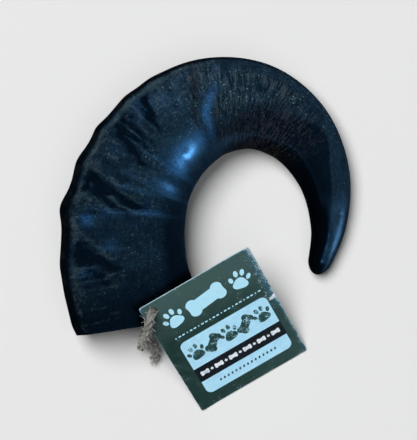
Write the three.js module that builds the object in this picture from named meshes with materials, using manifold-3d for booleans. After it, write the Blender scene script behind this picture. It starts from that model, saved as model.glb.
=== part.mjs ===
// A buffalo horn dog chew: a curled hollow horn, a card tag and the jute twine that ties the tag on.
// Millimetres. The horn lies on its side: X and Y span the curl, Z points up from the surface it rests on.
import * as THREE from "three";
import { LoftGeometry } from "three/addons/geometries/LoftGeometry.js";
import { mergeVertices } from "three/addons/utils/BufferGeometryUtils.js";
import Module from "manifold-3d";

const wasm = await Module();
wasm.setup();

// Middle of the horn and tag seen from above, which becomes the origin.
const MIDDLE = { x: -1.55, y: -7.7 };

// The horn at ten even steps of its length, from the saw cut to the tip. x and y are the centreline, width
// lies in the plane of the curl and thick is the height. The row before them is its course beyond the cut.
const BEYOND_CUT = { x: -34.9, y: -81.5, width: 66.8, thick: 31.0 };
const STATIONS = [
  BEYOND_CUT,
  { x: -35.8, y: -54.9, width: 66.8, thick: 32.0 },
  { x: -43.3, y: -29.4, width: 65.9, thick: 33.0 },
  { x: -44.1, y: -3.2, width: 63.6, thick: 33.5 },
  { x: -37.9, y: 22.3, width: 60.4, thick: 33.0 },
  { x: -22.8, y: 44.2, width: 56.6, thick: 32.0 },
  { x: -0.7, y: 58.3, width: 52.1, thick: 30.0 },
  { x: 25.0, y: 59.3, width: 45.8, thick: 27.5 },
  { x: 46.9, y: 46.2, width: 37.4, thick: 24.0 },
  { x: 60.3, y: 23.0, width: 27.8, thick: 19.5 },
  { x: 62.8, y: -3.4, width: 18.5, thick: 14.0 },
  { x: 56.4, y: -28.6, width: 10.0, thick: 8.5 },
];
const STEPS = STATIONS.length - 2;
const HORN_LENGTH = 264;
const TIP_ROUND = 0.026; // share of the length over which the blunt tip rounds off
const TIP_LIFT = 3; // the tip's underside clears the surface by this much
const LIFT_FROM = 0.6;

// Form of the section: squareness of its upper and lower half (2 is an ellipse), from the base to the tip.
const TOP_SQUARE = { base: 3.8, tip: 1.55 };
const BELLY_SQUARE = { base: 2.9, tip: 2.1 };
const FLANK = 7; // how far the crest of the outer edge is drawn in from the widest line
const LIP = 0.8; // low rim along that crest
const OUTER_RISE = 0.08; // the outer half of the top stands higher at the base
const INNER_RISE = 0.1; // and the inner half round the bend
const BEND_AT = 0.58;

// Grooves pinched into the top face. Each runs between two points, given as the share of the length from the
// cut and the degrees round the section: 0 is the outer edge, 90 the middle of the top, 180 the inner edge.
const GROOVES = [
  { from: [0.104, 44], to: [0.082, 112], depth: 1.1, width: 3.0 },
  { from: [0.153, 42], to: [0.121, 80], depth: 2.8, width: 3.4 },
  { from: [0.222, 52], to: [0.212, 74], depth: 1.6, width: 2.4 },
  { from: [0.256, 42], to: [0.231, 88], depth: 1.7, width: 2.2 },
  { from: [0.273, 40], to: [0.242, 100], depth: 3.0, width: 2.9 },
  { from: [0.314, 40], to: [0.288, 80], depth: 1.1, width: 2.6 },
  { from: [0.358, 42], to: [0.33, 90], depth: 2.4, width: 3.0 },
  { from: [0.38, 38], to: [0.366, 76], depth: 1.7, width: 2.6 },
  { from: [0.418, 38], to: [0.396, 82], depth: 1.9, width: 2.9 },
  { from: [0.46, 36], to: [0.447, 70], depth: 1.2, width: 2.7 },
];
const GROOVE_FADE = 11; // degrees over which a groove runs out at its ends
const GROOVE_START = 1.25; // a groove's width is multiplied by this where it starts, near the crest
const GROOVE_STOP = 0.6; // and by this where it stops

// Swollen growth rings that scallop the outer edge: share of the length, how far each stands out and reaches.
const RINGS = [
  { at: 0.045, out: 0.8, reach: 6.0 },
  { at: 0.132, out: 0.6, reach: 5.0 },
  { at: 0.219, out: 2.7, reach: 6.0 },
  { at: 0.288, out: 1.3, reach: 4.6 },
  { at: 0.341, out: 1.1, reach: 3.6 },
  { at: 0.398, out: 0.7, reach: 4.5 },
  { at: 0.44, out: 0.5, reach: 4.0 },
];
const RING_SPREAD = 60; // degrees either side of the outer edge that a ring reaches round to
const RING_SLANT = -0.0006; // share of the length that a ring falls back for each degree over the top

// Hollow, from the saw cut inwards.
const WALL = 6.0;
const HOLLOW_END = 0.44; // share of the length at which the hollow closes
const HOLLOW_BLUNT = 1.8;

// Hole drilled down through the top wall for the twine.
const DRILLED = { x: -28.9, y: -47.0, across: 6.5, from: 20, to: 45 };

// Card tag, its punched hole, the place of its lowest corner, and how it is turned and tilts up to the horn.
const TAG = { width: 64.3, height: 76, thick: 0.7, corner: 1.2 };
const TAG_HOLE = { across: 6.8, in: 5.0, down: 5.9 };
const TAG_CORNER = { x: -3.7, y: -100.6, z: 0.05 };
const TAG_TURN = 30;
const TAG_TILT = 32.7;

// Jute twine, from the end of its cut tail through the knot, over the rim, down through the tag and the horn,
// out of the hollow, through the knot again and along its frayed tail.
const TWINE = 4.5;
const ROUTE = [
  [-35.3, -67.6, 8.0],
  [-35.0, -66.0, 11.6],
  [-34.1, -64.1, 14.9],
  [-31.9, -60.7, 15.3],
  [-29.8, -60.8, 18.8],
  [-32.1, -61.2, 22.0],
  [-31.9, -60.2, 27.0],
  [-31.6, -58.9, 32.5],
  [-31.2, -56.6, 37.3],
  [-30.4, -53.3, 41.0],
  [-29.5, -50.3, 42.8],
  [-28.9, -48.2, 42.0],
  [-28.8, -47.3, 38.5],
  [-28.8, -47.1, 34.0],
  [-28.8, -47.0, 29.0],
  [-29.0, -47.3, 25.0],
  [-29.9, -49.4, 21.7],
  [-31.3, -53.1, 20.1],
  [-32.3, -57.6, 19.0],
  [-34.4, -61.0, 18.6],
  [-31.9, -64.3, 18.3],
  [-29.5, -63.9, 15.1],
  [-28.6, -66.3, 11.0],
  [-28.3, -69.4, 6.6],
  [-28.6, -72.4, 3.3],
  [-28.9, -74.4, 2.5],
];

// How finely the surfaces are divided.
const SIDES = 42;
const WRINKLED_END = 0.48;
const WRINKLED_RINGS = 56;
const SMOOTH_RINGS = 22;
const TIP_RINGS = 5;
const HOLLOW_SIDES = 22;
const HOLLOW_RINGS = 18;
const TWINE_SIDES = 10;
const TWINE_STEPS = 58;

const { clamp, degToRad, lerp, radToDeg, smoothstep } = THREE.MathUtils;

const bell = (distance, width) => Math.exp(-((distance / width) ** 2));

const curveThrough = (pick) =>
  new THREE.CatmullRomCurve3(STATIONS.map((s) => new THREE.Vector3(...pick(s))), false, "catmullrom", 0.5);
const centreline = curveThrough((s) => [s.x, s.y, 0]);
const sizes = curveThrough((s) => [s.width, s.thick, 0]);

// Everything that describes the section at a share of the length.
function sectionAt(share) {
  const t = (1 + share * STEPS) / (STEPS + 1);
  const forward = centreline.getTangent(t);
  const [width, thick] = sizes.getPoint(t).toArray();
  const taper = smoothstep(share, 0.15, 0.8);
  const lift = TIP_LIFT * Math.max(0, (share - LIFT_FROM) / (1 - LIFT_FROM)) ** 2;
  return {
    centre: centreline.getPoint(t).setZ(lift + thick / 2),
    outward: new THREE.Vector3(-forward.y, forward.x, 0).normalize(),
    width,
    thick,
    top: lerp(TOP_SQUARE.base, TOP_SQUARE.tip, taper),
    belly: lerp(BELLY_SQUARE.base, BELLY_SQUARE.tip, taper),
    flank: FLANK * (1 - smoothstep(share, 0.25, 0.7)),
    lip: LIP * (1 - smoothstep(share, 0.35, 0.6)),
    lean: OUTER_RISE * (1 - smoothstep(share, 0, 0.45)) - INNER_RISE * bell(share - BEND_AT, 0.2),
  };
}

// A point of the plain section, drawn in by a wall and shrunk, at an angle from the outer edge.
function sectionPoint(section, angle, wall, shrink) {
  const square = angle < Math.PI ? section.top : section.belly;
  const [cos, sin] = [Math.cos(angle), Math.sin(angle)];
  const radius = shrink * (Math.abs(cos) ** square + Math.abs(sin) ** square) ** (-1 / square);
  const up = Math.max(0, radius * sin);
  const draw = section.flank * up * Math.max(0, radius * cos);
  const across = radius * cos * (section.width / 2 - wall) - draw;
  const rise = (radius * sin + section.lean * up * radius * cos) * (section.thick / 2 - wall);
  return section.centre
    .clone()
    .addScaledVector(section.outward, across)
    .add(new THREE.Vector3(0, 0, rise));
}

// Height of the wrinkled skin above the plain one: rim and swollen rings, less the grooves.
function wrinkle(share, degrees, lip) {
  const fromEdge = Math.min(degrees, 360 - degrees);
  const overTop = degrees < 180 ? Math.max(0, degrees - 40) : 0;
  let height = lip * bell(degrees - 47, 13);
  for (const ring of RINGS) {
    const off = share - ring.at - RING_SLANT * overTop;
    height += ring.out * bell(off * HORN_LENGTH, ring.reach) * bell(fromEdge, RING_SPREAD);
  }
  for (const groove of GROOVES) {
    const [startShare, startDegrees] = groove.from;
    const [endShare, endDegrees] = groove.to;
    const run = clamp((degrees - startDegrees) / (endDegrees - startDegrees), 0, 1);
    const off = share - lerp(startShare, endShare, run);
    const past = degrees - lerp(startDegrees, endDegrees, run);
    const width = groove.width * lerp(GROOVE_START, GROOVE_STOP, run);
    height -= groove.depth * bell(off * HORN_LENGTH, width) * bell(past, GROOVE_FADE);
  }
  return height;
}

function skinPoint(share, angle) {
  const section = sectionAt(share);
  const past = Math.max(0, (share - 1 + TIP_ROUND) / TIP_ROUND);
  const point = sectionPoint(section, angle, 0, Math.sqrt(1 - past * past));
  const height = wrinkle(share, radToDeg(angle), section.lip);
  point.addScaledVector(section.outward, height * Math.cos(angle));
  point.z += height * Math.max(0, Math.sin(angle));
  return point;
}

function hollowPoint(share, angle) {
  const depth = Math.max(0, share) / HOLLOW_END;
  return sectionPoint(sectionAt(share), angle, WALL, Math.sqrt(1 - depth ** HOLLOW_BLUNT));
}

// A closed skin through rings of points, with a flat end on the first and the last.
function loft(shares, sides, point) {
  const angles = Array.from({ length: sides }, (_, i) => (i / sides) * 2 * Math.PI);
  const sections = shares.map((share) => angles.map((angle) => point(share, angle)));
  return new LoftGeometry(sections, { capStart: true, capEnd: true });
}

// Shares from a start up to an end that is left to the next stretch. Ease above 1 crowds them near the end.
const spread = (start, end, count, ease = 1) =>
  Array.from({ length: count }, (_, i) => end - (end - start) * (1 - i / count) ** ease);

// A closed geometry as a solid, and a solid as a geometry.
function solid(geometry) {
  const plain = geometry.clone();
  plain.deleteAttribute("normal");
  plain.deleteAttribute("uv");
  const merged = mergeVertices(plain, 1e-3);
  const vertProperties = merged.attributes.position.array;
  const triVerts = new Uint32Array(merged.index.array);
  return new wasm.Manifold(new wasm.Mesh({ numProp: 3, vertProperties, triVerts }));
}

function geometryOf(body) {
  const { vertProperties, triVerts } = body.getMesh();
  const indexed = new THREE.BufferGeometry();
  indexed.setAttribute("position", new THREE.BufferAttribute(vertProperties, 3));
  indexed.setIndex(new THREE.BufferAttribute(triVerts, 1));
  const faceted = indexed.toNonIndexed();
  faceted.computeVertexNormals();
  return faceted;
}

function finish(color, roughness) {
  return new THREE.MeshStandardMaterial({ color, roughness, metalness: 0 });
}

function makeHorn() {
  const tipStart = 1 - TIP_ROUND;
  const skin = loft(
    [
      ...spread(0, WRINKLED_END, WRINKLED_RINGS),
      ...spread(WRINKLED_END, tipStart, SMOOTH_RINGS),
      ...spread(tipStart, 1, TIP_RINGS, 2),
    ],
    SIDES,
    skinPoint,
  );
  const hollow = loft(
    [-0.02, ...spread(0, HOLLOW_END, HOLLOW_RINGS, 1.3)],
    HOLLOW_SIDES,
    hollowPoint,
  );
  const { across, from, to } = DRILLED;
  const drill = new THREE.CylinderGeometry(across / 2, across / 2, to - from, 16)
    .rotateX(Math.PI / 2)
    .translate(DRILLED.x, DRILLED.y, (from + to) / 2);
  const body = solid(skin).subtract(solid(hollow)).subtract(solid(drill));
  return new THREE.Mesh(geometryOf(body), finish(0x101b26, 0.32));
}

// The tag drawn flat, with its corner at the origin, its width along X and its height along Y.
function makeTag() {
  const { width, height, thick, corner } = TAG;
  const outline = new THREE.Shape();
  outline.absarc(corner, corner, corner, Math.PI, 1.5 * Math.PI);
  outline.absarc(width - corner, corner, corner, 1.5 * Math.PI, 2 * Math.PI);
  outline.absarc(width - corner, height - corner, corner, 0, 0.5 * Math.PI);
  outline.absarc(corner, height - corner, corner, 0.5 * Math.PI, Math.PI);
  const hole = new THREE.Path();
  hole.absarc(TAG_HOLE.in, height - TAG_HOLE.down, TAG_HOLE.across / 2, 0, 2 * Math.PI);
  outline.holes.push(hole);
  const card = new THREE.ExtrudeGeometry(outline, { depth: thick, bevelEnabled: false, curveSegments: 6 });
  return new THREE.Mesh(card, finish(0x2f4a47, 0.7));
}

function makeTwine() {
  const route = new THREE.CatmullRomCurve3(ROUTE.map((p) => new THREE.Vector3(...p)));
  const section = new THREE.Shape().absarc(0, 0, TWINE / 2, 0, 2 * Math.PI);
  const tube = new THREE.ExtrudeGeometry(section, {
    extrudePath: route,
    steps: TWINE_STEPS,
    curveSegments: TWINE_SIDES / 2,
    bevelEnabled: false,
  });
  return new THREE.Mesh(tube, finish(0x8a8072, 0.95));
}

const chew = new THREE.Group();
chew.position.set(-MIDDLE.x, -MIDDLE.y, 0);

const horn = makeHorn();
horn.name = "horn";
chew.add(horn);

const leaning = new THREE.Group();
leaning.position.copy(TAG_CORNER);
leaning.rotation.z = degToRad(TAG_TURN);
const tag = makeTag();
tag.name = "tag";
tag.rotation.x = degToRad(TAG_TILT);
leaning.add(tag);
chew.add(leaning);

const twine = makeTwine();
twine.name = "twine";
chew.add(twine);

export default chew;
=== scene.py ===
"""A curled buffalo horn dog chew with a printed card tag that is tied on with jute twine.

Shapes are worked out in millimetres of the drawing and turned into the frame's metres by metres().
A place on the horn is its share of the length from the saw cut and its degrees round the section:
0 is the outer edge of the curl, 90 the middle of the top, 180 the inner edge and 270 the underside.
"""

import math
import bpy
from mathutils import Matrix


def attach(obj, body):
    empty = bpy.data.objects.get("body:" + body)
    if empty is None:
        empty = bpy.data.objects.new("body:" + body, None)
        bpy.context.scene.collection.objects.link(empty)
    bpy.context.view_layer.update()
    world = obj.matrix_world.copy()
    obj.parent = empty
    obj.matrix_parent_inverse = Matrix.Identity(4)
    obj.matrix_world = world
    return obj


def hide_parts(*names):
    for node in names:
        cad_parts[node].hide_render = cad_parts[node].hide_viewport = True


bl_info = {
    "name": "Horn dog chew",
    "version": (1, 0, 0),
    "blender": (4, 5, 0),
    "location": "3D View > Sidebar > Horn chew",
    "description": "A curled horn dog chew, its card tag, its jute twine and a plain studio stage",
    "category": "Object",
}

from functools import partial

import bpy
import numpy as np
from mathutils import Vector

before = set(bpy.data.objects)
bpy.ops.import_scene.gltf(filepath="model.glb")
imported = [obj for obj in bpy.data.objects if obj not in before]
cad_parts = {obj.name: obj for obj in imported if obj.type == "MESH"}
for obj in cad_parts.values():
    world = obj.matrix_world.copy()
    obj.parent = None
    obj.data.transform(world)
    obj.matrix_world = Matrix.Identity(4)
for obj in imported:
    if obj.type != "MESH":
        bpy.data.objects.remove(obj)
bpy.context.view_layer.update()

MM = 0.001
MIDDLE = (-1.55, -7.7)

# The horn at even steps of its length: x, y, width and thickness. The first row lies beyond the saw cut.
STATIONS = (
    (-34.9, -81.5, 66.8, 31.0),
    (-35.8, -54.9, 66.8, 32.0),
    (-43.3, -29.4, 65.9, 33.0),
    (-44.1, -3.2, 63.6, 33.5),
    (-37.9, 22.3, 60.4, 33.0),
    (-22.8, 44.2, 56.6, 32.0),
    (-0.7, 58.3, 52.1, 30.0),
    (25.0, 59.3, 45.8, 27.5),
    (46.9, 46.2, 37.4, 24.0),
    (60.3, 23.0, 27.8, 19.5),
    (62.8, -3.4, 18.5, 14.0),
    (56.4, -28.6, 10.0, 8.5),
)
STEPS = len(STATIONS) - 2
HORN_LENGTH = 264
TIP_ROUND = 0.026
TIP_LIFT = 3
LIFT_FROM = 0.6
TOP_SQUARE = (3.8, 1.55)
BELLY_SQUARE = (2.9, 2.1)
FLANK = 7
LIP = 0.8
OUTER_RISE = 0.08
INNER_RISE = 0.1
BEND_AT = 0.58
RIM_ROUND = 0.35

# Pinched grooves: share and degrees where each starts and stops, depth and width.
GROOVES = (
    (0.104, 44, 0.082, 112, 1.1, 3.0),
    (0.148, 47, 0.119, 79, 3.0, 4.9),
    (0.222, 52, 0.212, 74, 1.2, 2.2),
    (0.256, 42, 0.231, 88, 1.7, 2.2),
    (0.273, 43, 0.242, 101, 3.0, 2.6),
    (0.314, 40, 0.288, 80, 1.1, 2.6),
    (0.358, 42, 0.33, 90, 2.0, 3.0),
    (0.38, 38, 0.366, 76, 1.3, 2.6),
    (0.418, 38, 0.396, 82, 1.7, 2.9),
    (0.46, 36, 0.447, 70, 1.2, 2.7),
)
GROOVE_FADE = 11
GROOVE_START = 1.25
GROOVE_STOP = 0.6

# Swollen growth rings of the outer edge: share, how far each stands out and reaches.
RINGS = (
    (0.045, 0.8, 6.0),
    (0.132, 0.6, 5.0),
    (0.219, 2.7, 6.0),
    (0.288, 1.3, 4.6),
    (0.341, 1.1, 3.6),
    (0.398, 0.7, 4.5),
    (0.44, 0.5, 4.0),
)
RING_SPREAD = 60
RING_SLANT = -0.0006

# The crest between the outer flank and the top, and the sharp ridge of the tip: share and degrees.
CREST = ((0.0, 33), (0.08, 34), (0.178, 40), (0.249, 35), (0.347, 28), (0.425, 28), (0.6, 26))
TIP_RIDGE = ((0.66, 4), (0.709, 27), (0.784, 71), (0.877, 86), (0.956, 66), (1.0, 40))
# The cracked band and the swelling beside it at the start of the bend: degrees and share.
CRACKS = ((30, 0.5), (42, 0.496), (77, 0.483), (107, 0.461), (125, 0.45))
SWELLING = ((40, 0.519), (68, 0.509), (98, 0.48), (110, 0.479), (130, 0.474))
# The polished shoulder at the bend: share, its reach, degrees and their reach.
SHOULDER = (0.405, 0.06, 119, 17)
# Painted blue highlights laid into the polished arm's colour: share, degrees, length, degrees across and
# strength of each patch.
PAINTED_SHEENS = (
    (0.205, 53, 2.6, 6, 0.7),
    (0.222, 74, 2.4, 12, 0.35),
    (0.237, 108, 2.4, 15, 0.5),
    (0.165, 78, 3.5, 8, 0.25),
    (0.115, 52, 3.5, 8, 0.25),
    (0.305, 122, 5.0, 12, 0.35),
    (0.405, 47, 4.0, 9, 0.35),
    (0.36, 56, 2.5, 12, 0.2),
    (0.44, 60, 6.0, 14, 0.1),
    (0.455, 116, 4.0, 10, 0.7),
    (0.42, 119, 6.0, 8, 0.5),
    (0.403, 119, 9.0, 8, 0.9),
    (0.365, 122, 6.0, 9, 0.8),
)

WALL = 6.0
HOLLOW_END = 0.44
HOLLOW_BLUNT = 1.8
DRILLED = {"x": -28.9, "y": -47.0, "across": 6.5, "from": 20, "to": 45}
KERATIN_IOR = 1.54

TAG = {"width": 64.3, "height": 76, "thick": 0.7, "corner": 1.2}
TAG_HOLE = {"across": 6.8, "in": 5.0, "down": 5.9}
TAG_CORNER = (-3.7, -100.6, 0.05)
TAG_TURN = math.radians(30)
TAG_TILT = math.radians(32.7)
# The torn notch in the tag's right edge, as shares of its width and of its height from the top.
TORN = (
    (0.994, 0.476), (0.98, 0.469), (0.958, 0.472), (0.926, 0.469), (0.95, 0.46),
    (0.934, 0.449), (0.957, 0.452), (0.975, 0.443), (0.994, 0.436),
)

TWINE = 4.5
PLY = 1.13
STRAND_TURN = 6.5
FRAY = 9
ROUTE = (
    (-35.3, -67.6, 8.0), (-35.0, -66.0, 11.6), (-34.1, -64.1, 14.9), (-31.9, -60.7, 15.3),
    (-29.8, -60.8, 18.8), (-32.1, -61.2, 22.0), (-31.9, -60.2, 27.0), (-31.6, -58.9, 32.5),
    (-31.2, -56.6, 37.3), (-30.4, -53.3, 41.0), (-29.5, -50.3, 42.8), (-28.9, -48.2, 42.0),
    (-28.8, -47.3, 38.5), (-28.8, -47.1, 34.0), (-28.8, -47.0, 29.0), (-29.0, -47.3, 25.0),
    (-29.9, -49.4, 21.7), (-31.3, -53.1, 20.1), (-32.3, -57.6, 19.0), (-34.4, -61.0, 18.6),
    (-31.9, -64.3, 18.3), (-29.5, -63.9, 15.1), (-28.6, -66.3, 11.0), (-28.3, -69.4, 6.6),
    (-28.6, -72.4, 3.3), (-28.9, -74.4, 2.5),
)

# The camera looks straight down from 1 m over the level where a pixel of the 440 is 0.52 mm.
CAMERA_UP = 1018
VIEW_HIGH = 440 * 0.52
SENSOR = 24
# Soft lights: azimuth from +X towards +Y, degrees from straight up, metres away, metres across, metres tall
# if it is a level bar, and colour. The first two light what is matt, and the others show in the gloss.
LIGHTS = {
    "key": (135, 25, 8, 5.4, 0, (1, 1, 1)),
    "fill": (-60, 26, 8, 8, 0, (1, 1, 1)),
    "side": (-19, 23.5, 1, 0.32, 0.14, (0.75, 0.9, 1)),
    "low": (-26, 86, 1, 0.5, 0.1, (0.5, 0.82, 1)),
    "top": (105, 34, 1, 0.25, 0, (0.8, 0.92, 1)),
}


def linear(code):
    """An sRGB hex value such as #a8dcf8 as linear red, green, blue and a full alpha."""
    parts = [int(code[i : i + 2], 16) / 255 for i in (1, 3, 5)]
    return tuple(c / 12.92 if c <= 0.04045 else ((c + 0.055) / 1.055) ** 2.4 for c in parts) + (1.0,)


def metres(points):
    """Millimetres of the drawing as metres of the frame."""
    return (np.asarray(points, float) - [*MIDDLE, 0]) * MM


def smooth(x, low, high):
    """Smooth step: 0 below low, 1 above high, and three t squared less two t cubed between."""
    t = np.clip((x - low) / (high - low), 0, 1)
    return t * t * (3 - 2 * t)


def bell(distance, width):
    """Bell curve: e to the minus square of distance over width."""
    return np.exp(-((distance / width) ** 2))


def mix(a, b, t):
    """A straight mix from a to b."""
    return a + (b - a) * t


def unit(vectors):
    """Vectors divided by their own lengths."""
    return vectors / np.linalg.norm(vectors, axis=-1, keepdims=True)


def circle(count):
    """The angles of a full turn in equal steps."""
    return np.linspace(0, 2 * np.pi, count, endpoint=False)


def wheel(side, other, angle):
    """Directions turned from side towards other: side by the cosine and other by the sine of the angle."""
    return side * np.cos(angle) + other * np.sin(angle)


def rounded(part, power=2):
    """The half width of a rounded end: the root of one less part to the power, and never below 0."""
    return np.sqrt(np.maximum(0, 1 - part**power))


def table(rows, at):
    """Straight runs between the rows of a table of two columns."""
    rows = np.array(rows)
    return np.interp(at, rows[:, 0], rows[:, 1])


def walked(line):
    """The length gone along a line of points at each of them."""
    return np.concatenate([[0], np.cumsum(np.linalg.norm(np.diff(line, axis=0), axis=1))])


def place_on(line, gone, at):
    """The points of a line at lengths along it, by straight runs between its own."""
    return np.stack([np.interp(at, gone, line[:, i]) for i in range(line.shape[1])], -1)


def through(rows, t):
    """A uniform Catmull-Rom curve through rows, at t from 0 to 1, with straight run-ins at both ends."""
    rows = np.array(rows, float)
    rows = np.vstack([2 * rows[0] - rows[1], rows, 2 * rows[-1] - rows[-2]])
    at = np.clip(t, 0, 1) * (len(rows) - 3)
    i = np.minimum(at.astype(int), len(rows) - 4)
    f = (at - i)[..., None]
    a, b, c, d = rows[i], rows[i + 1], rows[i + 2], rows[i + 3]
    return 0.5 * (2 * b + (c - a) * f + (2 * a - 5 * b + 4 * c - d) * f**2 + (3 * b - a - 3 * c + d) * f**3)


def ripple(share, degrees, along, around, count, seed):
    """A sum of cosines of random phase. Their waves are between the two lengths in along, in millimetres down
    the horn, and a whole number of turns up to around on it, so they meet where the section closes."""
    rng = np.random.default_rng(seed)
    turns = rng.integers(-around, around + 1, count)
    waves = rng.uniform(*along, count)
    phase = rng.uniform(0, 2 * np.pi, count)
    total = 0
    for n, wave, start in zip(turns, waves, phase):
        total += np.cos(2 * np.pi * share * HORN_LENGTH / wave + np.radians(degrees) * n + start)
    return total / math.sqrt(count / 2)


def spot(share, degrees, at, long, centre, wide):
    """A patch: a bell along the length times a bell round the section."""
    return bell(share - at, long) * bell(degrees - centre, wide)


def band(rows, share, degrees, shift, reach, centre, wide):
    """A band beside a line across the horn: a bell of millimetres past it less shift, times one round it."""
    return bell((share - table(rows, degrees)) * HORN_LENGTH - shift, reach) * bell(degrees - centre, wide)


def section(share):
    """The section at each share: centre, outward direction, width, thickness, squareness and the rest."""
    rows = np.array(STATIONS)
    t = (1 + share * STEPS) / (STEPS + 1)
    centre = through(rows[:, :2], t)
    step = unit(through(rows[:, :2], t + 1e-4) - through(rows[:, :2], t - 1e-4))
    width, thick = np.moveaxis(through(rows[:, 2:], t), -1, 0)
    taper = smooth(share, 0.15, 0.8)
    lift = TIP_LIFT * np.maximum(0, (share - LIFT_FROM) / (1 - LIFT_FROM)) ** 2
    return {
        "centre": np.concatenate([centre, (lift + thick / 2)[..., None]], -1),
        "outward": np.stack([-step[..., 1], step[..., 0], np.zeros_like(share)], -1),
        "width": width,
        "thick": thick,
        "top": mix(*TOP_SQUARE, taper),
        "belly": mix(*BELLY_SQUARE, taper),
        "flank": FLANK * (1 - smooth(share, 0.25, 0.7)),
        "lip": LIP * (1 - smooth(share, 0.35, 0.6)),
        "lean": OUTER_RISE * (1 - smooth(share, 0, 0.45)) - INNER_RISE * bell(share - BEND_AT, 0.2),
    }


def plain(share, degrees, wall=0.0, shrink=1.0):
    """The plain section: a superellipse of its own squareness above and below, drawn in by a wall and shrunk.
    Its outer upper side is drawn in by flank and its outer half raised by lean."""
    s = section(share)
    angle = np.radians(degrees)
    cos, sin = np.cos(angle), np.sin(angle)
    square = np.where(degrees < 180, s["top"], s["belly"])
    radius = shrink * (np.abs(cos) ** square + np.abs(sin) ** square) ** (-1 / square)
    up = np.maximum(0, radius * sin)
    across = radius * cos * (s["width"] / 2 - wall) - s["flank"] * up * np.maximum(0, radius * cos)
    rise = (radius * sin + s["lean"] * up * radius * cos) * (s["thick"] / 2 - wall)
    return s["centre"] + s["outward"] * across[..., None] + np.array([0, 0, 1.0]) * rise[..., None]


def groove_depth(share, degrees, lips=0.0):
    """The pinched grooves: each a trough with a bell profile and a sharp bottom, which narrows along its run
    and fades at its ends. It wanders a little. With lips, a low ridge stands on both sides of each trough."""
    total = 0
    wander = ripple(share, degrees, (7, 18), 18, 12, 41)
    for s0, d0, s1, d1, depth, width in GROOVES:
        run = np.clip((degrees - d0) / (d1 - d0), 0, 1)
        off = (share - mix(s0, s1, run)) * HORN_LENGTH + 0.5 * wander
        wide = width * mix(GROOVE_START, GROOVE_STOP, run) * (1 + 0.2 * wander)
        fade = bell(degrees - mix(d0, d1, run), GROOVE_FADE)
        trough = 0.65 * bell(off, wide) + 0.35 * np.exp(-np.abs(off) / (0.4 * wide))
        trough -= lips * (bell(off - 1.7 * wide, 0.7 * wide) + bell(off + 1.7 * wide, 0.7 * wide))
        total += depth * trough * fade
    return total


def ring_height(share, degrees):
    """The swollen growth rings: bells along the length that fade away from the outer edge."""
    from_edge = np.minimum(degrees, 360 - degrees)
    over = np.where(degrees < 180, np.maximum(0, degrees - 40), 0)
    total = 0
    for at, out, reach in RINGS:
        off = (share - at - RING_SLANT * over) * HORN_LENGTH
        total += out * bell(off, reach) * bell(from_edge, RING_SPREAD)
    return total


def fold_height(share, degrees):
    """Smaller folds among the grooves: 0.6 less the size of a sum of waves, so they have sharp tops. Also how
    much of them there is, which fades away from the wrinkled top."""
    amount = bell(degrees - 60, 30) * smooth(degrees, 8, 40) * (1 - smooth(share, 0.42, 0.5))
    amount *= 1 - smooth(degrees, 94, 112)
    return 0.6 - np.abs(ripple(share, degrees, (4.5, 10), 2, 12, 15)), amount


def relief(share, degrees):
    """Height of the real skin over the plain section: lip, rings and grooves, then the finer forms, which are
    a cracked band and a swelling at the start of the bend, sharp folds among the grooves, growth waves, and a
    sharp ridge along the tip."""
    height = section(share)["lip"] * bell(degrees - 47, 13) + ring_height(share, degrees)
    height -= groove_depth(share, degrees, lips=0.3)
    upper = smooth(degrees, 8, 40) * (1 - smooth(degrees, 150, 176))
    cracked = band(CRACKS, share, degrees, 0, 2.4, 72, 36)
    height -= cracked * upper * (0.25 + 0.16 * ripple(share, degrees, (1.3, 2.6), 9, 22, 5))
    height += 0.8 * band(SWELLING, share, degrees, 0, 4.0, 92, 36)
    folds, amount = fold_height(share, degrees)
    height += 0.45 * folds * amount
    waves = ripple(share, degrees, (3.2, 9), 3, 16, 7)
    height += 0.025 * waves * upper * (1 - 0.85 * smooth(degrees, 92, 110))
    lumps = ripple(share, degrees, (14, 34), 5, 14, 9)
    height += 0.14 * lumps * (1 - smooth(share, 0.45, 0.6)) * upper
    roof = np.exp(-np.abs(degrees - table(TIP_RIDGE, share)) / 24) * (degrees < 200)
    return height + 0.75 * roof * smooth(share, 0.7, 0.8)


def beyond_ridge(share, degrees):
    """1 on the inner side of the top: past the middle of the bend, and up to the sharp ridge at the tip."""
    tip = smooth(share, 0.66, 0.76)
    edge = mix(mix(118, 84, smooth(share, 0.48, 0.66)), table(TIP_RIDGE, share) + 3, tip)
    soft = mix(34, 5, tip)
    return smooth(degrees, edge - soft / 2, edge + soft / 2) * smooth(share, 0.42, 0.56)


def on_flank(share, degrees):
    """1 on the outer flank below the crest, and 0 on the top, the inner side and round towards the tip."""
    crest = table(CREST, share)
    outer = np.where(degrees < 180, 1 - smooth(degrees, crest - 9, crest - 2), smooth(degrees, 200, 240))
    return outer * (1 - smooth(share, 0.5, 0.74))


def tone_and_painted_shade(share, degrees):
    """How light the horn's colour is, 1 on the top of the wrinkled arm: darker near the saw cut,
    lighter where the top is scuffed round the bend, and painted shade on the sides that face away from
    the light: down the outer flank, on the inner side of the arm and on the inner side beyond the bend."""
    tone = 0.05 + 0.55 * smooth(share, 0.03, 0.14) + 0.32 * smooth(share, 0.2, 0.32)
    tone *= 1 + 0.8 * spot(share, degrees, 0.54, 0.12, 62, 34)
    tone *= 1 - 0.2 * spot(share, degrees, 0.33, 0.07, 52, 16)
    # Painted shade on the sides that face away from the light: the inner side of the arm, the inner side
    # beyond the bend and the outer flank.
    start = smooth(share, 0.2, 0.35)
    inner = smooth(degrees, mix(118, 100, start), mix(130, 142, start))
    tone *= 1 - mix(0.95, 0.7, smooth(share, 0.22, 0.34)) * inner * (1 - 0.5 * bell(share - 0.42, 0.06))
    tone *= 1 - 0.95 * beyond_ridge(share, degrees)
    return tone * (1 - 0.88 * on_flank(share, degrees))


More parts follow.
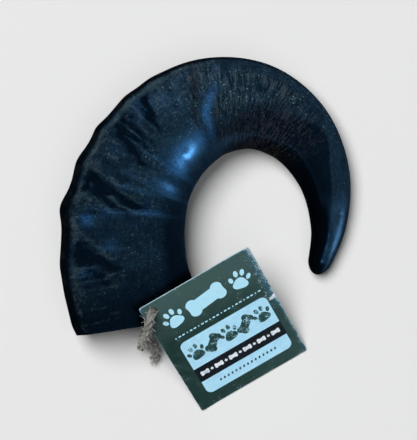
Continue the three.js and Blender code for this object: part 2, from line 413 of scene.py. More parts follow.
def painted_sheen_of(share, degrees):
    """Where blue highlights are painted into the arm's colour: a bell for each of PAINTED_SHEENS and a streak
    along the swelling. The same places are polished too.
    """
    total = band(SWELLING, share, degrees, 3.2, 2.4, 94, 25)
    for at, turn, long, wide, strength in PAINTED_SHEENS:
        total += strength * bell((share - at) * HORN_LENGTH, long) * bell(degrees - turn, wide)
    return np.minimum(total, 1)


def roughness_of(share, degrees):
    """How rough the skin is polished: glossiest on the inner shoulder of the bend, on the swelling and
    towards the tip, glossier down the outer flank, and duller near the saw cut and on the inner side
    beyond the bend."""
    patchy = smooth(ripple(share, degrees, (6, 24), 4, 16, 33), 0.3, 1.4) * (1 - smooth(share, 0.4, 0.48))
    polished = np.maximum.reduce([
        spot(share, degrees, *SHOULDER),
        0.75 * spot(share, degrees, 0.31, 0.018, 122, 16),
        0.62 * band(SWELLING, share, degrees, 3, 3.2, 92, 34),
        0.5 * patchy * smooth(share, 0.05, 0.2),
        0.4 * painted_sheen_of(share, degrees),
    ])
    rough = 1.0 - 0.86 * polished
    dull = 1 - smooth(share, 0.16, 0.28) * (1 - 0.5 * smooth(degrees, 128, 145))
    rough = mix(rough, 1.0, np.clip(dull * smooth(degrees, 96, 120) + 1 - smooth(share, 0.02, 0.12), 0, 1))
    turned = mix(124, 108, smooth(share, 0.66, 0.74))
    rough = mix(rough, 1.0 - 0.6 * smooth(degrees, turned, turned + 14), beyond_ridge(share, degrees))
    ridge = bell(degrees - table(TIP_RIDGE, share), 10) * smooth(share, 0.76, 0.84) * (degrees < 200)
    return mix(rough, 0.3 + 0.45 * ridge, smooth(share, 0.82, 0.88)) - 0.3 * on_flank(share, degrees)


def wear_and_painted_light_of(share, turn):
    """Wear and painted light as three numbers: grey rubbing on the crest and the fold tops together with a
    painted reflection line along the outer flank, painted shade in the grooves and between the folds, and
    brown on the inner edge and the cracks. Each is a sum of bells. Also the cracked band."""
    trough = groove_depth(share, turn)
    lips = groove_depth(share, turn, lips=0.5) - trough
    uneven = np.clip(0.5 + 0.6 * ripple(share, turn, (4, 20), 1, 10, 21), 0, 1)
    crest = bell(turn - table(CREST, share) - 2, 5.5) * (0.6 + 0.4 * uneven) * (1 - smooth(share, 0.44, 0.6))
    crest *= 0.65 + 0.35 * smooth(share, 0.24, 0.31)
    # A painted reflection: a thin light line down the rounded outer flank, laid in with the grey rubbing.
    painted_flank_reflection = 0.3 * bell(turn - 17, 4.0) * (0.45 + 0.55 * uneven) * (1 - smooth(share, 0.3, 0.42))
    rubbed_lips = 0.28 * np.maximum(0, -lips) * (1 - smooth(share, 0.42, 0.5))
    dust_and_painted_reflection = np.clip(0.65 * crest + painted_flank_reflection + rubbed_lips, 0, 1)
    folds, amount = fold_height(share, turn)
    crack = band(CRACKS, share, turn, 0, 2.0, 72, 34)
    dust_and_painted_reflection = dust_and_painted_reflection + 0.42 * smooth(folds, 0.2, 0.6) * amount * uneven + 0.35 * crack
    dust_and_painted_reflection += 0.36 * spot(share, turn, 0.48, 0.07, 52, 28)
    # Painted shade in the grooves and between the folds, which also makes them rougher.
    painted_groove_shade = smooth(trough, 0.35, 2.2) + 0.35 * np.maximum(0, -folds) * amount
    brown = bell(turn - 178, 22) * (1 - smooth(share, 0.6, 0.75)) + 0.8 * crack
    brown += 0.5 * beyond_ridge(share, turn) * (1 - smooth(share, 0.68, 0.78)) * (turn < 190)
    return np.stack([dust_and_painted_reflection, np.clip(painted_groove_shade, 0, 0.95), np.clip(brown, 0, 1.6)], -1), crack


def skin(share, degrees):
    """The skin: the plain section rounded off at the tip and pushed out by relief, outwards and upwards."""
    past = np.maximum(0, (share - 1 + TIP_ROUND) / TIP_ROUND)
    points = plain(share, degrees, shrink=rounded(past))
    height = relief(share, degrees) * (1 - past) - RIM_ROUND * np.exp(-share * HORN_LENGTH / RIM_ROUND)
    angle = np.radians(degrees)
    outward = section(share)["outward"] * (height * np.cos(angle))[..., None]
    return points + outward + np.array([0, 0, 1.0]) * (height * np.maximum(0, np.sin(angle)))[..., None]


def hollow(share, degrees):
    """The hollow: the plain section inside the wall, which closes to a blunt end, with faint ripples."""
    wall = WALL + 0.18 * ripple(share, degrees, (6, 20), 6, 14, 11) * smooth(share, 0.0, 0.05)
    return plain(share, degrees, wall, rounded(share / HOLLOW_END, HOLLOW_BLUNT))


def closed_form(rows):
    """Points and faces of forms given as form x row x column, whose columns close round and whose first and
    last rows shrink to a point: quads between the rows and a fan of triangles at each end."""
    forms, count, sides = rows.shape[:3]
    points = flat_field(rows).reshape(forms, -1, 3)
    ring = 1 + np.arange(count - 2)[:, None] * sides + np.arange(sides)
    turned = np.roll(ring, -1, 1)
    quads = np.stack([ring[:-1], turned[:-1], turned[1:], ring[1:]], -1).reshape(-1, 4)
    start = np.stack([np.zeros(sides, int), turned[0], ring[0]], -1)
    end = np.stack([np.full(sides, points.shape[1] - 1), ring[-1], turned[-1]], -1)
    fans = np.vstack([start, end])
    each = np.arange(forms)[:, None, None] * points.shape[1]
    return points.reshape(-1, 3), (quads + each).reshape(-1, 4), (fans + each).reshape(-1, 3)


def flat_field(values):
    """A field given as form x row x column (x parts), in the order of closed_form's points: a form's first
    row as one mean value, its inner rows, and its last row as one mean value."""
    inner = values[:, 1:-1].reshape(values.shape[0], -1, *values.shape[3:])
    joined = np.concatenate([values[:, :1].mean(2), inner, values[:, -1:].mean(2)], 1)
    return joined.reshape(-1, *values.shape[3:])


def linked(name, data):
    """A new object in the scene."""
    made = bpy.data.objects.new(name, data)
    bpy.context.scene.collection.objects.link(made)
    return made


def mesh_piece(name, rows, materials, stripes=None, fields=None):
    """A mesh object of closed forms, in metres. Its faces are turned round if they enclose a negative volume.
    stripes holds each face's material number and fields the named values of its points, laid out as rows."""
    points, quads, fans = closed_form(rows)
    a, b, c, d = [points[quads[:, i]] for i in range(4)]
    volume = np.einsum("ij,ij->", a, np.cross(b, c) + np.cross(c, d))
    if volume < 0:
        quads, fans = quads[:, ::-1], fans[:, ::-1]
    mesh = bpy.data.meshes.new(name)
    loops = np.concatenate([quads.ravel(), fans.ravel()]).astype(np.int32)
    starts = np.concatenate([np.arange(len(quads)) * 4, len(quads) * 4 + np.arange(len(fans)) * 3])
    mesh.vertices.add(len(points))
    mesh.vertices.foreach_set("co", points.astype(np.float32).ravel())
    mesh.loops.add(len(loops))
    mesh.loops.foreach_set("vertex_index", loops)
    mesh.polygons.add(len(starts))
    mesh.polygons.foreach_set("loop_start", starts.astype(np.int32))
    mesh.update(calc_edges=True)
    for made in materials:
        mesh.materials.append(made)
    if stripes is not None:
        mesh.polygons.foreach_set("material_index", stripes.astype(np.int32))
    for key, values in (fields or {}).items():
        kind, part = ("FLOAT_VECTOR", "vector") if values.ndim == 4 else ("FLOAT", "value")
        attribute = mesh.attributes.new(key, kind, "POINT")
        attribute.data.foreach_set(part, flat_field(values).astype(np.float32).ravel())
    mesh.validate()
    mesh.shade_smooth()
    return linked(name, mesh)


def drill(piece, centre, axis, radius, reach, wall_material):
    """Cuts a round hole through a piece with a Boolean, and leaves the result as its plain mesh."""
    axis = Vector(axis).normalized()
    side = axis.orthogonal().normalized()
    ring = wheel(np.array(side), np.array(axis.cross(side)), circle(48)[:, None])
    back, front = [np.array(centre) + np.array(axis) * reach * k for k in (-1, 1)]
    rows = np.stack([back + ring * 0, back + ring * radius, front + ring * radius, front + ring * 0])
    cutter = mesh_piece("cutter", rows[None], [wall_material])
    cutter.data.polygons.foreach_set("use_smooth", np.zeros(len(cutter.data.polygons), bool))
    cut = piece.modifiers.new("hole", "BOOLEAN")
    cut.object = cutter
    cut.operation = "DIFFERENCE"
    cut.solver = "EXACT"
    cut.material_mode = "TRANSFER"
    done = bpy.data.meshes.new_from_object(piece.evaluated_get(bpy.context.evaluated_depsgraph_get()))
    piece.modifiers.clear()
    old = piece.data
    piece.data = done
    bpy.data.meshes.remove(old)
    bpy.data.objects.remove(cutter)
    done.set_sharp_from_angle(angle=math.radians(50))


def add_node(tree, kind, inputs=(), out=0, **settings):
    """Adds a shader node with its settings. inputs lists its sockets' values in order or maps their names or
    numbers to them. A value is a number, a colour, a hex code or another node's output. Gives its output out,
    or all of them if out is None."""
    made = tree.nodes.new("ShaderNode" + kind)
    for key, value in settings.items():
        setattr(made, key, value)
    for key, value in inputs.items() if isinstance(inputs, dict) else enumerate(inputs):
        if isinstance(value, bpy.types.NodeSocket):
            tree.links.new(value, made.inputs[key])
        else:
            made.inputs[key].default_value = linear(value) if isinstance(value, str) else value
    return made.outputs if out is None else made.outputs[out]


def new_material(name):
    """An empty node material, and the function that adds a node to it."""
    made = bpy.data.materials.new(name)
    made.use_nodes = True
    made.node_tree.nodes.clear()
    return made, partial(add_node, made.node_tree)


def coat(add, colour, layers, bump, sockets):
    """The end of a material: tints laid over its first colour one after another, each by its own factor, a
    bump given as height, strength and metres, and the shader with its other sockets."""
    for factor, tint in layers:
        colour = add("Mix", {0: factor, 6: colour, 7: tint}, 2, data_type="RGBA")
    height, strength, distance = bump
    bumped = add("Bump", {"Height": height, "Strength": strength, "Distance": distance})
    shader = add("BsdfPrincipled", {"Base Color": colour, "Normal": bumped, **sockets})
    add("OutputMaterial", (shader,), None)


def polished_horn():
    """Keratin, scraped and polished over a wrinkled growth: a blue-black gloss whose wrinkle tops are rubbed
    dusty grey, whose growth lines run round the horn, and whose reflections are tinted blue. Painted into its
    colour are blue highlights, a reflection line down the flank, black shade in the grooves and shade on the
    sides that face away from the light."""
    h = bpy.context.scene.chew_horn
    made, add = new_material("polished black horn")
    wear, straight, zones = [
        add("Attribute", out="Vector", attribute_name=k) for k in ("wear", "straight", "zones")
    ]
    depth, polish, calm = [add("Attribute", out="Fac", attribute_name=k) for k in ("tone", "rough", "calm")]
    dust_and_painted_reflection, painted_groove_shade, brown = add("SeparateXYZ", (wear,), None)
    # zones holds the growth-line zone, the cracks and where blue highlights are painted.
    zone, crack, painted_sheen = add("SeparateXYZ", (zones,), None)
    # Growth lines 1.1 mm apart down the horn and about 15 mm long round it, wandering a little, and
    # lengthwise scuffs 0.8 mm wide and 5 mm long.
    wander = add("TexNoise", {0: straight, "Scale": 160, "Detail": 1}, 1)
    bent = add("VectorMath", (wander, (0.002, 0.002, 0.002), straight), operation="MULTIPLY_ADD")
    stretched = add("Mapping", {0: bent, 3: (140, 140, 1600)})
    combed = add("Mapping", {0: straight, 3: (1200, 1200, 200)})
    # Then patches 6 mm, soft dents 3 mm, grain 1.2 mm and blue patches 8 mm across.
    lines, scuffs, patches, dents, grain, blue = [
        add("TexNoise", {0: at, "Scale": scale, "Detail": fine, "Roughness": rough, "Distortion": bend})
        for at, scale, fine, rough, bend in (
            (stretched, 1, 1.5, 0.5, 0),
            (combed, 1, 2, 0.6, 0),
            (straight, 170, 5, 0.62, 0),
            (straight, 320, 0, 0.5, 0.8),
            (straight, 850, 2, 0.7, 0.6),
            (straight, 120, 3, 0.6, 0),
        )
    ]
    # Sparse specks of pale dust 0.6 mm across.
    cells = add("TexVoronoi", {0: bent, "Scale": 500}, feature="F1")
    # The scuffs lie lighter on the arm, the growth lines darker round the bend, and the grain breaks up both.
    tone, bluish, scuffed, fine, pale, grit, strewn, grime, specks, sparse, painted_glint, gloss = [
        add("MapRange", row)
        for row in (
            (patches, 0.35, 0.68, 0, 1),
            (blue, 0.5, 0.68, 0, 0.18),
            (scuffs, 0.56, 0.74, 0, 0.42),
            (lines, 0.56, 0.38, 0, 0.9),
            (lines, 0.52, 0.7, 0, 0.36),
            (grain, 0.55, 0.71, 0, 0.9),
            (patches, 0.44, 0.62, 0.15, 1),
            (grain, 0.44, 0.3, 0, 0.8),
            (cells, 0.22, 0.12, 0, 1),
            (patches, 0.49, 0.6, 0, 0.75),
            (grain, 0.4, 0.6, 0.35, 1),
            (patches, 0.3, 0.7, h.gloss, h.gloss + 0.02),
        )
    ]
    unlined = add("Math", (zone, -1, 1), operation="MULTIPLY_ADD")
    scuffed, fine, pale, grit, specks, raised = [
        add("Math", pair, operation="MULTIPLY")
        for pair in (
            (scuffed, unlined),
            (fine, zone),
            (pale, zone),
            (grit, strewn),
            (specks, sparse),
            (lines, zone),
        )
    ]
    colour = h.dark
    for factor, tint in (
        (tone, h.mid),
        (bluish, "#123152"),
        (scuffed, "#2f5060"),
        (fine, "#050a0f"),
        (pale, "#464745"),
        (grit, "#3d5259"),
        (grime, "#04090d"),
    ):
        colour = add("Mix", {0: factor, 6: colour, 7: tint}, 2, data_type="RGBA")
    # The tone attribute darkens the colour: towards the saw cut, and as painted shade on the flank and the
    # inner sides.
    colour = add("VectorMath", {0: colour, 3: depth}, operation="SCALE")

    # Weighted sums: grey rubbing on the wrinkle tops, painted black shade in the grooves with uneven edges,
    # and fine relief.
    sums = []
    for total, *weighted in (
        (dust_and_painted_reflection, (patches, 0.5), (grain, 1.4)),
        (-2.3, (grain, 2.4), (patches, 2.2)),
        (grain, (dents, 0.7), (raised, 2.4), (scuffs, 0.25)),
    ):
        for pattern, weight in weighted:
            total = add("Math", (pattern, weight, total), operation="MULTIPLY_ADD")
        sums.append(total)
    rubbed, painted_groove_black, height = sums
    # The grooves get painted black shade, brown shows where the grain and the growth lines are strong,
    # and the cracks are thin dark threads where the lines cross their middle value.
    painted_groove_black = add("Math", (painted_groove_black, painted_groove_shade), operation="ADD")
    browned = add("Math", (grain, lines), operation="ADD")
    thread = add("Math", (lines, 0.5), operation="SUBTRACT")
    thread = add("Math", (thread,), operation="ABSOLUTE")
    rubbed, painted_groove_black, browned, thread = [
        add("MapRange", row)
        for row in (
            (rubbed, 1.2, 2.3, 0, h.dust_and_painted_reflection),
            (painted_groove_black, 0.35, 0.7, 0, 1),
            (browned, 1.0, 1.22, 0, 1),
            (thread, 0.13, 0.05, 0, 1),
        )
    ]
    specks, painted_glint, browned, thread = [
        add("Math", pair, operation="MULTIPLY", use_clamp=True)
        for pair in ((specks, depth), (painted_sheen, painted_glint), (brown, browned), (thread, crack))
    ]

    gloss = add("Math", (gloss, polish), operation="ADD")
    gloss = add("Math", (rubbed, 0.08, gloss), operation="MULTIPLY_ADD")
    gloss = add("Math", (painted_groove_shade, 0.4, gloss), operation="MULTIPLY_ADD", use_clamp=True)
    height = add("Math", (height, calm), operation="MULTIPLY")
    # Painted light among these layers: the blue highlights, the black shade in the grooves, and a reflection
    # line along the flank that comes in with the grey rubbing.
    layers = (
        (rubbed, h.dusty),
        (specks, "#5f7174"),
        (painted_glint, "#1f4872"),
        (painted_groove_black, "#010306"),
        (browned, "#38332f"),
        (thread, "#040404"),
    )
    sockets = {"Roughness": gloss, "IOR": KERATIN_IOR, "Specular Tint": (0.16, 0.5, 1.0, 1.0)}
    coat(add, colour, layers, (height, 1.0, 0.075 * MM), sockets)
    return made


def sawn_horn():
    """Horn keratin as the saw left it: grey-brown, matt, with fine parallel saw marks."""
    made, add = new_material("sawn horn")
    place = add("TexCoord", out="Object")
    turned = add("Mapping", {0: place, 2: (0.0, math.radians(35), math.radians(9))})
    # Saw marks 0.6 mm apart and grain 1.1 mm across.
    marks = add("TexWave", {0: turned, "Scale": 520, "Distortion": 1.5, "Detail": 3}, 1)
    grain = add("TexNoise", {0: place, "Scale": 900, "Detail": 4})
    marked = add("Math", (marks, 0.3), operation="MULTIPLY")
    layers = ((grain, "#3a3530"), (marked, "#4a453e"))
    coat(add, "#0b0d0f", layers, (marks, 0.5, 0.15 * MM), {"Roughness": 0.72, "IOR": KERATIN_IOR})
    return made


def bare_horn():
    """The inside of the sheath, left raw: dark grey-brown and dull, ribbed where it grew on its core."""
    made, add = new_material("raw inner horn")
    straight = add("Attribute", out="Vector", attribute_name="straight")
    # Ribs 2.4 mm apart down the horn and 11 mm long round it, and grain 1.2 mm across.
    stretched = add("Mapping", {0: straight, 3: (90, 90, 420)})
    ribs = add("TexNoise", {0: stretched, "Scale": 1, "Detail": 4})
    grain = add("TexNoise", {0: straight, "Scale": 800, "Detail": 4})
    height = add("Math", (grain, 0.3, ribs), operation="MULTIPLY_ADD")
    bump = (height, 0.7, 0.5 * MM)
    coat(add, "#0d0f11", ((ribs, "#3b342c"),), bump, {"Roughness": 0.8, "IOR": KERATIN_IOR})
    return made


def printed_card(name, base, shade, worn, wear=0.0, edge=False):
    """Coated board printed in one flat colour: a soft satin face, slightly mottled ink, and pale fibre where
    it is rubbed through. With edge, the rim and what lies near it is rubbed more, and painted light makes
    the upper and right parts lighter."""
    made, add = new_material(name)
    place = add("TexCoord", out="Object")
    # Mottled ink 4 mm and grit 0.5 mm across.
    mottle = add("TexNoise", {0: place, "Scale": 260, "Detail": 4, "Roughness": 0.6})
    grit = add("TexNoise", {0: place, "Scale": 1900, "Detail": 2})
    layers = [(add("MapRange", (mottle, 0.38, 0.62, 0, 1)), shade)]
    rub = add("Math", (mottle, grit), operation="ADD")
    if edge:
        # Painted light: the upper and right parts are painted lighter, and a bluish rim lies next to the
        # rubbed one.
        x, _, z = add("SeparateXYZ", (place,), None)
        near = add("Attribute", out="Fac", attribute_name="edge")
        upper = add("MapRange", (z, 0.026, 0.038, 0, 1))
        right = add("MapRange", (x, 0.01, 0.05, 0, 0.4))
        painted_light_upper_right = add("Math", (upper, right), operation="ADD", use_clamp=True)
        layers += [(painted_light_upper_right, "#3b5755"), (add("MapRange", (near, 0.08, 0.2, 0, 0.75)), "#2c5c72")]
        rub = add("Math", (rub, near), operation="ADD")
    layers.append((add("MapRange", (rub, 1.22 - wear, 1.34 - wear, 0, 1)), worn))
    gloss = add("MapRange", (mottle, 0.3, 0.7, 0.36, 0.44))
    coat(add, base, layers, (grit, 0.25, 0.05 * MM), {"Roughness": gloss, "IOR": 1.5})
    return made


def jute(name, dark, light):
    """Loosely spun jute: dull grey-brown fibres that lie along each ply, some of them pale and shiny."""
    made, add = new_material(name)
    lay = add("Attribute", out="Vector", attribute_name="lay")
    # Fibres 0.4 mm wide and 8 mm long.
    combed = add("Mapping", {0: lay, 3: (2600, 130, 1)})
    fibres = add("TexNoise", {0: combed, "Scale": 1, "Detail": 4, "Roughness": 0.6})
    layers = ((add("MapRange", (fibres, 0.36, 0.66, 0, 1)), light),)
    sockets = {"Roughness": 0.75, "IOR": 1.5, "Sheen Weight": 0.2}
    coat(add, dark, layers, (fibres, 0.8, 0.25 * MM), sockets)
    return made


def on_tag(u, v, w):
    """Metres of the frame for a place on the tag: u across it from its left edge, v up from its lower edge
    and w from its back, in millimetres. The tag is turned about the vertical and tilted about its lower
    edge."""
    u, v, w = np.broadcast_arrays(np.asarray(u, float), v, w)
    run = v * math.cos(TAG_TILT) - w * math.sin(TAG_TILT)
    rise = v * math.sin(TAG_TILT) + w * math.cos(TAG_TILT)
    x = TAG_CORNER[0] + u * math.cos(TAG_TURN) - run * math.sin(TAG_TURN)
    y = TAG_CORNER[1] + u * math.sin(TAG_TURN) + run * math.cos(TAG_TURN)
    return metres(np.stack([x, y, TAG_CORNER[2] + rise], -1))


def turned_to(shape, turn, x, y):
    """A flat shape turned by degrees and moved to a place."""
    c, s = math.cos(math.radians(turn)), math.sin(math.radians(turn))
    return shape @ np.array([[c, s], [-s, c]]) + [x, y]


def rounded_box(low, high, radius, per_corner=10):
    """A rectangle with round corners, anticlockwise, in tag millimetres."""
    (x0, y0), (x1, y1) = low, high
    arcs = []
    for x, y, start in ((x1, y0, -90), (x1, y1, 0), (x0, y1, 90), (x0, y0, 180)):
        a = np.radians(start + np.linspace(0, 90, per_corner))
        cx = x - radius if x == x1 else x + radius
        cy = y - radius if y == y1 else y + radius
        arcs.append(np.stack([cx + radius * np.cos(a), cy + radius * np.sin(a)], -1))
    return np.vstack(arcs)


def oval(x, y, across, up, turn=0.0, count=28):
    """An ellipse turned by degrees."""
    a = circle(count)
    return turned_to(np.stack([across / 2 * np.cos(a), up / 2 * np.sin(a)], -1), turn, x, y)


def bone(x, y, long, high, turn=0.0):
    """A bone: two round lobes at each end of a straight shaft."""
    r = high * 0.29
    a, b = long / 2 - r, high / 2 - r
    half = []
    for cy, start, stop in ((-b, -150, 22), (b, -22, 150)):
        t = np.radians(np.linspace(start, stop, 16))
        half.append(np.stack([a + r * np.cos(t), cy + r * np.sin(t)], -1))
    half = np.vstack(half)
    return turned_to(np.vstack([half, -half]), turn, x, y)


def paw(x, y, size, turn=0.0):
    """A paw print: a three-lobed pad and four toes."""
    a = circle(40)
    r = size * 0.27 * (1 + 0.1 * np.cos(3 * (a - np.pi / 2)))
    shapes = [np.stack([1.12 * r * np.cos(a), 0.92 * r * np.sin(a) - size * 0.17], -1)]
    for tx, ty, wide, high, lean in (
        (-0.35, 0.06, 0.17, 0.26, 24),
        (-0.13, 0.3, 0.18, 0.29, 8),
        (0.13, 0.3, 0.18, 0.29, -8),
        (0.35, 0.06, 0.17, 0.26, -24),
    ):
        shapes.append(oval(tx * size, ty * size, wide * size, high * size, lean))
    return [turned_to(shape, turn, x, y) for shape in shapes]


def print_piece(name, layers):
    """Thin prisms on the card, one for each outline. layers holds (outlines, low, high, material) in
    millimetres above the back of the card."""
    points, faces, numbers = [], [], []
    for number, (outlines, low, high, _) in enumerate(layers):
        for outline in outlines:
            n, first = len(outline), sum(len(p) for p in points)
            points += [on_tag(outline[:, 0], outline[:, 1], level) for level in (low, high)]
            ring = np.arange(n)
            sides = np.stack([ring, np.roll(ring, -1), np.roll(ring, -1) + n, ring + n], -1) + first
            faces += sides.tolist() + [(ring + n + first).tolist(), (ring[::-1] + first).tolist()]
            numbers += [number] * (n + 2)
    mesh = bpy.data.meshes.new(name)
    mesh.from_pydata(np.vstack(points).tolist(), [], faces)
    for layer in layers:
        mesh.materials.append(layer[3])
    mesh.polygons.foreach_set("material_index", np.array(numbers, np.int32))
    mesh.update()
    return linked(name, mesh)


def colour_prop(name, code, description):
    """A colour that a user may change, with its sRGB hex default."""
    return bpy.props.FloatVectorProperty(
        name=name, description=description, subtype="COLOR", size=4, default=linear(code), min=0, max=1
    )


def number_prop(name, default, description, **limits):
    """A number that a user may change."""
    return bpy.props.FloatProperty(name=name, description=description, default=default, **limits)


class HornSettings(bpy.types.PropertyGroup):
    gloss: number_prop("Dullness", 0.0, "Added to the roughness of the polished skin", min=-0.2, max=0.5)
    dust_and_painted_reflection: number_prop(
        "Dust", 0.75, "How much the wrinkle tops are rubbed grey", min=0, max=1, subtype="FACTOR"
    )
    dark: colour_prop("Dark tone", "#08131c", "Deepest colour of the skin")
    mid: colour_prop("Middle tone", "#0f212b", "Common colour of the skin")
    dusty: colour_prop("Dusty tone", "#405157", "Colour of the rubbed wrinkle tops")


class TagSettings(bpy.types.PropertyGroup):
    card: colour_prop("Card", "#17322f", "Printed ground of the tag")
    pale: colour_prop("Pale print", "#b4e8ff", "Panel and large motifs")
    band: colour_prop("Dark band", "#0b0f18", "Band across the panel")


class TwineSettings(bpy.types.PropertyGroup):
    twist: number_prop("Twist", 13 * MM, "Length of one full turn of the plies", unit="LENGTH")
    hairs: bpy.props.IntProperty(
        name="Hairs", description="Number of loose fibres", default=300, min=0, max=600
    )
    dark: colour_prop("Dark fibre", "#474642", "Shaded jute")
    light: colour_prop("Light fibre", "#959490", "Pale jute")


class StageSettings(bpy.types.PropertyGroup):
    floor: colour_prop("Floor", "#cecece", "Colour of the floor")
    key: number_prop("Key light", 868.0, "Watts of the soft light from above", min=0)
    fill: number_prop("Fill light", 130.0, "Watts of the wide light over the tag's side", min=0)
    side: number_prop("Side light", 6.0, "Watts of the light beside the curl", min=0)
    low: number_prop("Low light", 3.6, "Watts of the bar that lights the tip's edge", min=0)
    top: number_prop("Top light", 0.6, "Watts of the small light over the bend", min=0)


class CHEW_OT_stage(bpy.types.Operator):
    """Plain pale floor, soft studio light and the camera straight above"""

    bl_idname = "chew.stage"
    bl_label = "Stage"

    def execute(self, context):
        scene, settings = context.scene, context.scene.chew_stage
        camera = linked("camera", bpy.data.cameras.new("camera"))
        camera.location = metres((0, 0, CAMERA_UP))
        camera.data.sensor_fit = "VERTICAL"
        camera.data.sensor_height = SENSOR
        camera.data.lens = SENSOR * 1000 / VIEW_HIGH
        camera.data.clip_start = 0.05
        scene.camera = camera
        scene.view_settings.view_transform = "Standard"

        made, add = new_material("matt white paper")
        sockets = {"Base Color": settings.floor, "Roughness": 0.9, "Specular IOR Level": 0.1}
        add("OutputMaterial", (add("BsdfPrincipled", sockets),), None)
        mesh = bpy.data.meshes.new("floor")
        mesh.from_pydata([(-4, -4, 0), (4, -4, 0), (4, 4, 0), (-4, 4, 0)], [], [(0, 1, 2, 3)])
        mesh.materials.append(made)
        floor = linked("floor", mesh)
        floor.visible_glossy = False

        scene.world = bpy.data.worlds.new("studio")
        scene.world.use_nodes = True
        sky = scene.world.node_tree.nodes["Background"].inputs
        sky[0].default_value, sky[1].default_value = (0.85, 0.93, 1.0, 1.0), 0.03
        for name, (azimuth, zenith, away, across, tall, tint) in LIGHTS.items():
            a, z = math.radians(azimuth), math.radians(zenith)
            towards = Vector((math.cos(a) * math.sin(z), math.sin(a) * math.sin(z), math.cos(z)))
            data = bpy.data.lights.new(name, "AREA")
            data.shape = "RECTANGLE" if tall else "DISK"
            data.size, data.size_y = across, tall
            data.energy = getattr(settings, name)
            data.color = tint
            made = linked(name, data)
            made.location = towards * away
            made.rotation_euler = towards.to_track_quat("Z", "Y").to_euler()
            wide = name in ("key", "fill")
            made.visible_diffuse, made.visible_glossy = wide, not wide
        return {"FINISHED"}


class CHEW_OT_twine(bpy.types.Operator):
    """Three-ply jute twine along its route, with its loose fibres and frayed ends"""

    bl_idname = "chew.twine"
    bl_label = "Twine"

    def execute(self, context):
        t = context.scene.chew_twine
        fine = through(ROUTE, np.linspace(0, 1, 3000))
        gone = walked(fine)
        length = gone[-1]
        at = np.linspace(0, length, 340)

        def frames(where):
            """Place, direction and two square directions of the route at each length along it."""
            along = unit(place_on(fine, gone, where + 0.3) - place_on(fine, gone, where - 0.3))
            side = unit(np.array([1.0, 0, 0]) - along * along[..., :1])
            return place_on(fine, gone, where), along, side, np.cross(along, side)

        # Each ply is a tube whose middle winds round the route, with seven strands wound the other way.
        rng = np.random.default_rng(3)
        place, along, side, other = frames(at)
        psi = circle(24)
        frayed = smooth(at, length - FRAY, length)
        far = at[:, None]
        plies, lays = [], []
        for k in range(3):
            phase = 2 * np.pi * (at * MM / t.twist + k / 3) + 0.25 * np.sin(at / 4.1 + k)
            ply = PLY * (1 + 0.06 * np.sin(at / 2.7 + 2 * k)) * (1 - 0.45 * frayed)
            for left, reach in ((at - 0.5 * k, 0.8), (length - at, 1.5)):
                ply *= rounded(np.clip(1 - left / reach, 0, 1))
            off = (TWINE / 2 - PLY) * (1 + 0.9 * frayed)
            middle = place + side * (off * np.cos(phase))[:, None] + other * (off * np.sin(phase))[:, None]
            strand = 1 + 0.1 * np.cos(7 * psi[None] + 2 * np.pi * far / STRAND_TURN + k)
            strand += 0.05 * np.cos(13 * psi[None] - 2 * np.pi * far / 4.3 + 2 * k)
            ring = wheel(side[:, None], other[:, None], psi[:, None])
            plies.append(middle[:, None] + ring * (ply[:, None] * strand)[..., None])
            twist = psi[None] * 1.1 + 0.9 * far / STRAND_TURN
            lays.append(np.stack(np.broadcast_arrays(twist * MM, far * MM, k * 0.1), -1))
        plies = np.stack(plies)
        plies[..., 2] = np.maximum(plies[..., 2], 0.12)
        made = jute("jute twine", t.dark, t.light)
        twine = mesh_piece("twine_plies", metres(plies), [made], fields={"lay": np.stack(lays)})

        # Loose fibres: bent hairs that leave the surface, more of them at the knot and the frayed tail.
        count = t.hairs
        tail = int(count * 0.2)
        where = np.concatenate([
            rng.uniform(1, length - 1, count - 2 * tail),
            rng.choice([14.0, 88.0], tail) + rng.normal(0, 5, tail),
            length - np.abs(rng.normal(2, 3, tail)),
        ]).clip(0.5, length - 0.1)
        place, along, side, other = frames(where)
        turn = rng.uniform(0, 2 * np.pi, count)[:, None]
        out = wheel(side, other, turn)
        at_tail = np.arange(count) >= count - tail
        start = place + out * np.where(at_tail, 0.9, 1.9)[:, None]
        sway = rng.normal(0, 1, (count, 3))
        reach = np.where(at_tail, rng.uniform(1, 3.6, count), rng.uniform(2, 6, count))
        lean = np.where(at_tail, 1.0, rng.choice([-1, 1], count) * 0.8)
        heading = unit(out * np.where(at_tail, 0.3, 0.45)[:, None] + along * lean[:, None] + 0.25 * sway)
        bend = unit(np.cross(heading, sway[:, [1, 2, 0]]))
        step = np.linspace(0, 1, 9)
        curl = rng.uniform(-0.45, 0.45, count)
        middle = start[:, None] + heading[:, None] * (reach[:, None] * step)[..., None]
        middle += bend[:, None] * (reach[:, None] * curl[:, None] * step**2)[..., None]
        thin = np.where(at_tail, 0.13, 0.085)[:, None] * rounded(2 * step - 1, 8)
        ring = wheel(bend[:, None], np.cross(heading, bend)[:, None], circle(4)[:, None])
        hairs = middle[:, :, None] + ring[:, None] * thin[..., None, None]
        hairs[..., 2] = np.maximum(hairs[..., 2], 0.1)
        lay = np.zeros(hairs.shape)
        lay[..., 0] = rng.uniform(0, 1, count)[:, None, None]
        made = jute("loose jute fibre", t.light, "#d8d2c8")
        fuzz = mesh_piece("twine_fibres", metres(hairs), [made], fields={"lay": lay})
        for piece in (twine, fuzz):
            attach(piece, "root")
        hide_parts("twine")
        return {"FINISHED"}


